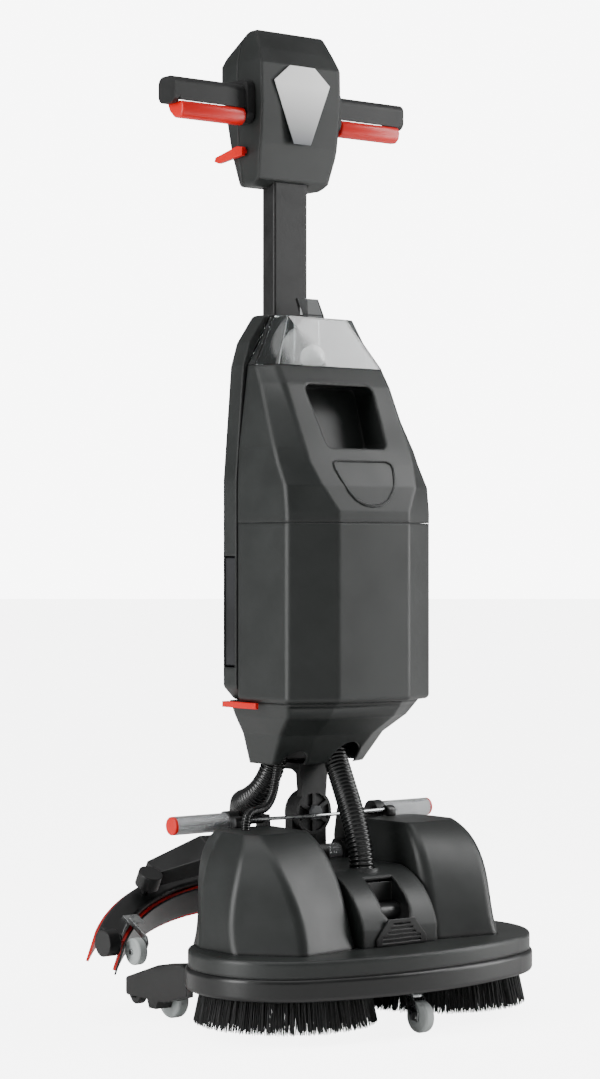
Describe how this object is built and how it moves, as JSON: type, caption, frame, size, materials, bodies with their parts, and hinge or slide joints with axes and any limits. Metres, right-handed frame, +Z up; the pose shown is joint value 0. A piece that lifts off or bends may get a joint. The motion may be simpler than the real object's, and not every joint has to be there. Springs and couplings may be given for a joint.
{
  "type": "upright twin-brush scrubber dryer",
  "caption": "Walk-behind upright floor scrubber: low brush deck on wheels, tilting body with stacked tanks, trigger handlebar and a curved rear squeegee that a pedal lowers.",
  "frame": {"origin": "on the floor, under the middle of the whole machine's box", "axes": "+Z up; +X across the machine; -Y towards the machine's front, +Y towards the user"},
  "size_m": [0.495, 0.4488, 1.19],
  "materials": {
    "charcoal_plastic": "satin moulded",
    "black_plastic": "satin moulded",
    "black_steel": "matte powder coat",
    "gearmotor": "satin",
    "bristle": "tufted",
    "red_plastic": "satin moulded",
    "red_rubber": "smooth",
    "grey_rubber": "matte",
    "chrome": "knurled",
    "clear_lid": "clear polycarbonate",
    "white_plastic": "glossy",
    "hose_plastic": "corrugated",
    "plate": "silver film",
    "battery_black": "satin"
  },
  "bodies": {
    "deck": {"deck_pan": "charcoal_plastic", "bumper": "black_plastic", "brush_motor_left": "gearmotor", "brush_motor_right": "gearmotor", "cover_left": "charcoal_plastic", "cover_right": "charcoal_plastic", "saddle": "charcoal_plastic", "saddle_barrel": "black_plastic", "vent_grille": "black_plastic", "rear_bracket_left": "black_steel", "rear_bracket_right": "black_steel", "axle_tube": "chrome", "axle_posts": "black_steel"},
    "brush_left": {"brush_block_left": "black_plastic", "bristles_left": "bristle"},
    "brush_right": {"brush_block_right": "black_plastic", "bristles_right": "bristle"},
    "castor": {"castor_fork": "black_steel"},
    "castor_wheel": {"castor_wheel": "grey_rubber"},
    "rear_wheel_left": {"rear_wheel_left": "grey_rubber"},
    "rear_wheel_right": {"rear_wheel_right": "grey_rubber"},
    "tip_roller_left": {"tip_roller_left": "black_plastic"},
    "tip_roller_right": {"tip_roller_right": "black_plastic"},
    "lift": {"lift_arm": "black_steel"},
    "squeegee": {"squeegee_beam": "black_steel", "front_blade": "red_rubber", "rear_blade": "red_rubber", "squeegee_carrier": "black_steel", "squeegee_knobs": "black_plastic", "guard_straps": "black_steel", "squeegee_hose": "hose_plastic"},
    "guard_roller_left": {"guard_roller_left": "grey_rubber"},
    "guard_roller_right": {"guard_roller_right": "grey_rubber"},
    "pedal": {"pedal_frame": "black_steel", "pedal_tubes": "chrome", "pedal_plugs": "red_plastic"},
    "yoke": {"yoke": "black_steel"},
    "chassis": {"neck": "black_steel", "pivot_bolt": "black_steel", "mast": "black_steel", "skirt": "charcoal_plastic", "clean_tank": "charcoal_plastic", "suction_motor": "gearmotor", "water_pump": "gearmotor", "rear_casing": "charcoal_plastic", "head_front": "charcoal_plastic", "head_rear": "charcoal_plastic", "face_plate": "plate", "handlebar": "black_steel", "grips": "black_plastic", "main_hose": "hose_plastic", "conduits": "hose_plastic"},
    "waste_tank": {"waste_tank": "charcoal_plastic"},
    "lid": {"lid": "clear_lid"},
    "float_ball": {"float_ball": "white_plastic"},
    "battery_pack": {"battery_pack": "battery_black"},
    "battery_catch": {"battery_catch": "red_plastic"},
    "trigger_left": {"trigger_left": "red_plastic"},
    "trigger_right": {"trigger_right": "red_plastic"},
    "head_lever": {"head_lever": "red_plastic"}
  },
  "joints": [
    {"name": "brush_left_spin", "type": "hinge", "parent": "deck", "child": "brush_left", "pos_m": [-0.116, -0.08842, 0.06], "axis": [0, 0, 1], "continuous": true},
    {"name": "brush_right_spin", "type": "hinge", "parent": "deck", "child": "brush_right", "pos_m": [0.116, -0.08842, 0.06], "axis": [0, 0, 1], "continuous": true},
    {"name": "castor_swivel", "type": "hinge", "parent": "deck", "child": "castor", "pos_m": [0, -0.18142, 0.06], "axis": [0, 0, 1], "continuous": true},
    {"name": "castor_roll", "type": "hinge", "parent": "castor", "child": "castor_wheel", "pos_m": [0, -0.19342, 0.0185], "axis": [1, 0, 0], "continuous": true},
    {"name": "wheel_left_roll", "type": "hinge", "parent": "deck", "child": "rear_wheel_left", "pos_m": [-0.166, 0.06358, 0.0225], "axis": [1, 0, 0], "continuous": true},
    {"name": "wheel_right_roll", "type": "hinge", "parent": "deck", "child": "rear_wheel_right", "pos_m": [0.166, 0.06358, 0.0225], "axis": [1, 0, 0], "continuous": true},
    {"name": "tip_left_roll", "type": "hinge", "parent": "deck", "child": "tip_roller_left", "pos_m": [-0.186, 0.10758, 0.024], "axis": [1, 0, 0], "continuous": true},
    {"name": "tip_right_roll", "type": "hinge", "parent": "deck", "child": "tip_roller_right", "pos_m": [0.186, 0.10758, 0.024], "axis": [1, 0, 0], "continuous": true},
    {"name": "lift_hinge", "type": "hinge", "parent": "deck", "child": "lift", "pos_m": [0, 0.04158, 0.062], "axis": [1, 0, 0], "range_deg": [-39.26, 0]},
    {"name": "squeegee_tilt", "type": "hinge", "parent": "lift", "child": "squeegee", "pos_m": [0, 0.13524, 0.1476], "axis": [1, 0, 0], "range_deg": [0, 11.56], "deforming": ["squeegee_hose"]},
    {"name": "guard_left_roll", "type": "hinge", "parent": "squeegee", "child": "guard_roller_left", "pos_m": [-0.212, 0.07516, 0.08167], "axis": [1, 0, 0], "continuous": true},
    {"name": "guard_right_roll", "type": "hinge", "parent": "squeegee", "child": "guard_roller_right", "pos_m": [0.212, 0.07516, 0.08167], "axis": [1, 0, 0], "continuous": true},
    {"name": "pedal_hinge", "type": "hinge", "parent": "deck", "child": "pedal", "pos_m": [0, 0.02358, 0.186], "axis": [1, 0, 0], "range_deg": [-23.86, 0]},
    {"name": "body_pitch", "type": "hinge", "parent": "deck", "child": "yoke", "pos_m": [0, 0.02358, 0.186], "axis": [1, 0, 0], "range_deg": [-45, 0]},
    {"name": "body_lean", "type": "hinge", "parent": "yoke", "child": "chassis", "pos_m": [0, 0.00358, 0.239], "axis": [0, 1, 0], "range_deg": [-25, 25], "deforming": ["main_hose", "conduits"]},
    {"name": "tank_lift_out", "type": "slide", "parent": "chassis", "child": "waste_tank", "axis": [0, 0, 1], "range_m": [0, 0.15]},
    {"name": "lid_hinge", "type": "hinge", "parent": "waste_tank", "child": "lid", "pos_m": [0, -0.02842, 0.777], "axis": [1, 0, 0], "range_deg": [0, 95]},
    {"name": "ball_float", "type": "slide", "parent": "lid", "child": "float_ball", "axis": [0, 0, 1], "range_m": [0, 0.004]},
    {"name": "battery_slide", "type": "slide", "parent": "chassis", "child": "battery_pack", "axis": [-1, 0, 0], "range_m": [0, 0.165]},
    {"name": "catch_hinge", "type": "hinge", "parent": "chassis", "child": "battery_catch", "pos_m": [-0.1075, 0.03558, 0.3725], "axis": [0, 0, 1], "range_deg": [-70, 0]},
    {"name": "trigger_left_squeeze", "type": "hinge", "parent": "chassis", "child": "trigger_left", "pos_m": [-0.12, 0.07258, 1.091], "axis": [1, 0, 0], "range_deg": [-8, 0], "stiffness_Nm_per_rad": 0.6, "springref_deg": 11.46},
    {"name": "trigger_right_squeeze", "type": "hinge", "parent": "chassis", "child": "trigger_right", "pos_m": [0.12, 0.07258, 1.091], "axis": [1, 0, 0], "range_deg": [-8, 0], "stiffness_Nm_per_rad": 0.6, "springref_deg": 11.46},
    {"name": "lever_hinge", "type": "hinge", "parent": "chassis", "child": "head_lever", "pos_m": [-0.064, 0.06358, 1.042], "axis": [1, 0, 0], "range_deg": [0, 25]}
  ],
  "couplings": [
    {"joint": "brush_right_spin", "follows": "brush_left_spin", "ratio": -1},
    {"joint": "squeegee_tilt", "follows": "lift_hinge", "ratio": -0.28684},
    {"joint": "pedal_hinge", "follows": "lift_hinge", "ratio": 0.6}
  ]
}
